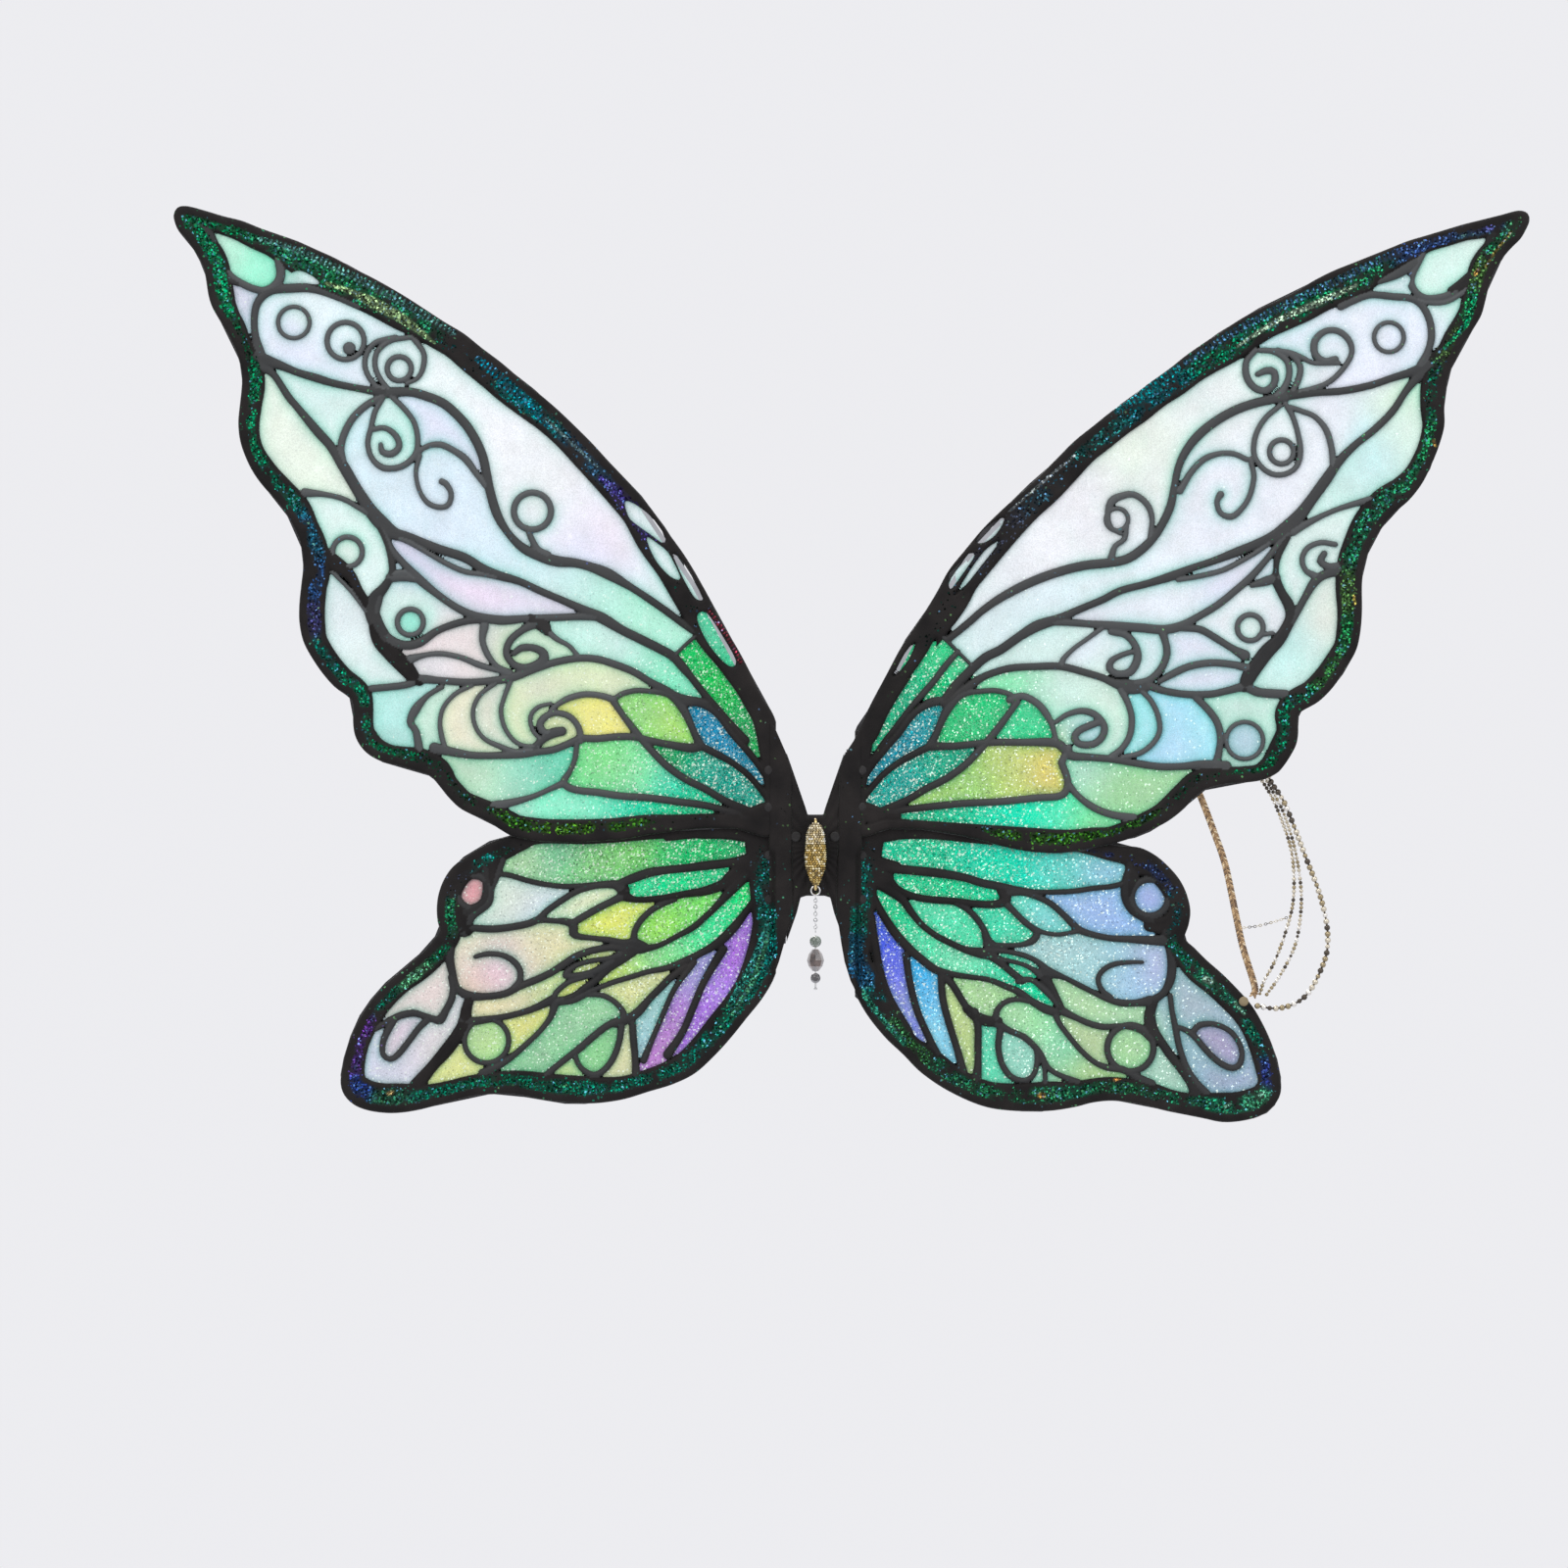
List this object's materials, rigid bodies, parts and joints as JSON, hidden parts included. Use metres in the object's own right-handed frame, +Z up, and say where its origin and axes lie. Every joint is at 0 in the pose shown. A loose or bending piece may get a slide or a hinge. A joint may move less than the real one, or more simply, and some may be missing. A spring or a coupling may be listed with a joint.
{
  "type": "fairy wings",
  "caption": "Two pairs of veined film wings on hinged root plates, with a bead dangle, chain swags and elastic arm straps.",
  "frame": {"origin": "middle of the back pad's flat rear face, which rests on the wearer's back", "axes": "+X across the span to the right as seen from the decorated side, +Z up, +Y out of the pad towards the wearer; the decorated side faces -Y"},
  "size_m": [0.7323, 0.1329, 0.4949],
  "materials": {
    "black_flocked_frame": "black flock over a stiff board, glitter inlays",
    "pearl_film": "pearly colour-shifting film",
    "spring_steel": "drawn",
    "black_backing": "matt",
    "black_painted_steel": "satin black",
    "bright_steel": "bright",
    "black_plastic": "satin",
    "black_felt": "pressed felt",
    "black_elastic": "ribbed elastic",
    "champagne_bead": "metallised",
    "gold_bead": "metallised",
    "old_gold_bead": "metallised",
    "gold_wire": "polished",
    "silver_chain": "polished",
    "grey_green_glass": "polished",
    "smoky_crystal": "faceted",
    "dark_glass": "polished",
    "gold_braid": "braided lurex",
    "brass_chain": "antique"
  },
  "bodies": {
    "harness": {"back_pad": "black_felt", "bead_staple": "gold_wire", "cluster_lower_bead": "old_gold_bead", "cluster_middle_bead": "gold_bead", "cluster_top_bead": "champagne_bead", "core_block": "black_plastic", "harness_plate": "black_plastic", "left_hinge_pin": "bright_steel", "left_strap": "black_elastic", "right_hinge_pin": "bright_steel", "right_strap": "black_elastic", "root_screw_1": "black_painted_steel", "root_screw_2": "black_painted_steel", "thorax_plate": "black_plastic"},
    "left_wings": {"left_fore_backing": "black_backing", "left_fore_edge_wire": "spring_steel", "left_fore_film": "pearl_film", "left_fore_rivet_1": "black_painted_steel", "left_fore_rivet_2": "black_painted_steel", "left_fore_vein_frame": "black_flocked_frame", "left_hind_backing": "black_backing", "left_hind_edge_wire": "spring_steel", "left_hind_film": "pearl_film", "left_hind_rivet_1": "black_painted_steel", "left_hind_rivet_2": "black_painted_steel", "left_hind_vein_frame": "black_flocked_frame", "left_wing_leaf": "black_painted_steel"},
    "right_wings": {"right_fore_backing": "black_backing", "right_fore_edge_wire": "spring_steel", "right_fore_film": "pearl_film", "right_fore_rivet_1": "black_painted_steel", "right_fore_rivet_2": "black_painted_steel", "right_fore_vein_frame": "black_flocked_frame", "right_hind_backing": "black_backing", "right_hind_edge_wire": "spring_steel", "right_hind_film": "pearl_film", "right_hind_rivet_1": "black_painted_steel", "right_hind_rivet_2": "black_painted_steel", "right_hind_vein_frame": "black_flocked_frame", "right_wing_leaf": "black_painted_steel", "swag_braid": "gold_braid", "swag_cross_chain": "brass_chain", "swag_gather_stud": "brass_chain", "swag_inner_beads": "brass_chain", "swag_middle_beads": "brass_chain", "swag_outer_beads": "brass_chain", "swag_top_stud_1": "brass_chain", "swag_top_stud_2": "brass_chain"},
    "left_slider": {"left_strap_slider": "black_plastic"},
    "right_slider": {"right_strap_slider": "black_plastic"},
    "dangle": {"dangle_chain": "silver_chain", "dangle_crystal": "smoky_crystal", "dangle_drop_bead": "dark_glass", "dangle_headpin": "silver_chain", "dangle_oval_bead": "grey_green_glass", "dangle_ring": "silver_chain"}
  },
  "joints": [
    {"name": "left_wing_fold", "type": "hinge", "parent": "harness", "child": "left_wings", "pos_m": [-0.0185, -0.0182, 0], "axis": [0, 0, 1], "range_deg": [0, 80]},
    {"name": "right_wing_fold", "type": "hinge", "parent": "harness", "child": "right_wings", "pos_m": [0.0185, -0.0182, 0], "axis": [0, 0, -1], "range_deg": [0, 80]},
    {"name": "left_slider_slide", "type": "slide", "parent": "harness", "child": "left_slider", "axis": [0, 1, 0], "range_m": [-0.017, 0.021]},
    {"name": "right_slider_slide", "type": "slide", "parent": "harness", "child": "right_slider", "axis": [0, 1, 0], "range_m": [-0.017, 0.021]},
    {"name": "dangle_swing", "type": "hinge", "parent": "harness", "child": "dangle", "pos_m": [0, -0.0259, -0.0302], "axis": [0, 1, 0], "range_deg": [-20, 20]}
  ]
}
